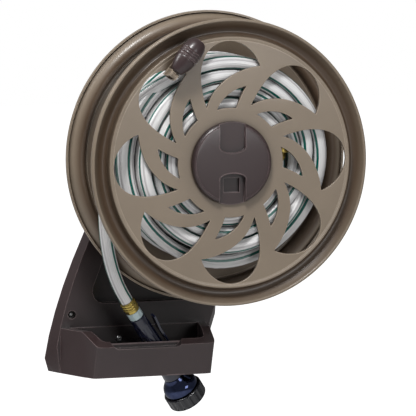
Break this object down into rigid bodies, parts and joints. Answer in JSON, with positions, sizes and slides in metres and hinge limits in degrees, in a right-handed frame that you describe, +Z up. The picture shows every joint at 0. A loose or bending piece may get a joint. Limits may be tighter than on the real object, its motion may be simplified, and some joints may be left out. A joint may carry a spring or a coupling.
{
  "type": "wall-mounted garden hose reel",
  "caption": "Wall-mounted garden hose reel with a pierced front flange, folding crank knob, wound striped hose, storage tray and spray nozzle.",
  "frame": {"origin": "on the wall plane, level with and behind the reel's axis", "axes": "+X to the right seen from the front, +Y into the wall, +Z up; the reel stands out towards -Y"},
  "size_m": [0.4636, 0.2875, 0.6483],
  "materials": {
    "taupe": "satin moulded plastic",
    "plum_brown": "satin moulded plastic",
    "black_plastic": "satin",
    "steel": "zinc plated",
    "brass": "polished",
    "hose": "glossy translucent vinyl with lengthwise stripes",
    "pale_plastic": "glossy",
    "chrome": "mirror",
    "navy_gloss": "glossy",
    "bearing_plastic": "matt",
    "seal_rubber": "matt"
  },
  "bodies": {
    "bracket": {"wall_plate": "plum_brown", "storage_tray": "plum_brown", "spindle": "plum_brown", "inlet_stub": "brass", "inlet_washer": "seal_rubber", "axle_washer": "steel", "axle_nut": "steel", "hose_run": "hose", "hose_ferrule": "brass", "collar_washer": "seal_rubber", "nozzle_grip": "navy_gloss", "lever_pin": "steel", "nozzle_shoulder": "chrome", "wall_screw_1": "steel", "spindle_screw_1": "steel", "wall_screw_2": "steel", "spindle_screw_2": "steel", "wall_screw_3": "steel", "spindle_screw_3": "steel", "wall_screw_4": "steel", "spindle_screw_4": "steel", "tray_screw_1": "steel", "tray_screw_2": "steel", "tray_screw_3": "steel"},
    "reel": {"front_flange": "taupe", "back_flange": "taupe", "drum": "black_plastic", "front_web": "black_plastic", "back_web": "black_plastic", "front_bush": "bearing_plastic", "back_bush": "bearing_plastic", "water_tube": "brass", "tube_seal_1": "seal_rubber", "tube_seal_2": "seal_rubber", "inner_coupling": "brass", "hose_coil": "hose", "hub_cap": "plum_brown", "crank_base": "taupe", "crank_pin": "steel", "crank_screw_1": "steel", "crank_screw_2": "steel", "front_flange_screw_1": "steel", "front_flange_screw_2": "steel", "front_flange_screw_3": "steel", "front_flange_screw_4": "steel", "back_flange_screw_1": "steel", "back_flange_screw_2": "steel", "back_flange_screw_3": "steel", "back_flange_screw_4": "steel"},
    "crank_arm": {"crank_stem": "taupe", "knob_screw": "steel"},
    "knob": {"crank_knob": "plum_brown", "knob_plug": "plum_brown"},
    "inlet_nut": {"inlet_nut": "brass"},
    "nozzle_collar": {"nozzle_collar": "pale_plastic"},
    "nozzle_lever": {"nozzle_lever": "navy_gloss"},
    "nozzle_dial": {"nozzle_ring": "black_plastic", "spray_plate": "black_plastic", "valve_stem": "bearing_plastic"}
  },
  "joints": [
    {"name": "reel_spin", "type": "hinge", "parent": "bracket", "child": "reel", "pos_m": [0, -0.18, 0], "axis": [0, -1, 0], "continuous": true},
    {"name": "crank_fold", "type": "hinge", "parent": "reel", "child": "crank_arm", "pos_m": [-0.1004, -0.27, 0.1408], "axis": [0.7604, 0, -0.6494], "range_deg": [0, 90]},
    {"name": "knob_spin", "type": "hinge", "parent": "crank_arm", "child": "knob", "pos_m": [-0.1004, -0.27, 0.1408], "axis": [0.6494, 0, 0.7604], "continuous": true},
    {"name": "inlet_nut_spin", "type": "hinge", "parent": "bracket", "child": "inlet_nut", "pos_m": [0.06, -0.072, 0], "axis": [1, 0, 0], "continuous": true},
    {"name": "nozzle_collar_spin", "type": "hinge", "parent": "bracket", "child": "nozzle_collar", "pos_m": [-0.11497, -0.11085, -0.24976], "axis": [0.5566, 0.2648, -0.7874], "continuous": true},
    {"name": "nozzle_lever_press", "type": "hinge", "parent": "bracket", "child": "nozzle_lever", "pos_m": [-0.02916, -0.07836, -0.33565], "axis": [0.1385, -0.9642, -0.2263], "range_deg": [0, 3.2], "stiffness_Nm_per_rad": 0.6},
    {"name": "nozzle_dial_turn", "type": "hinge", "parent": "bracket", "child": "nozzle_dial", "pos_m": [-0.01868, -0.06504, -0.38599], "axis": [0.5566, 0.2648, -0.7874], "continuous": true}
  ]
}
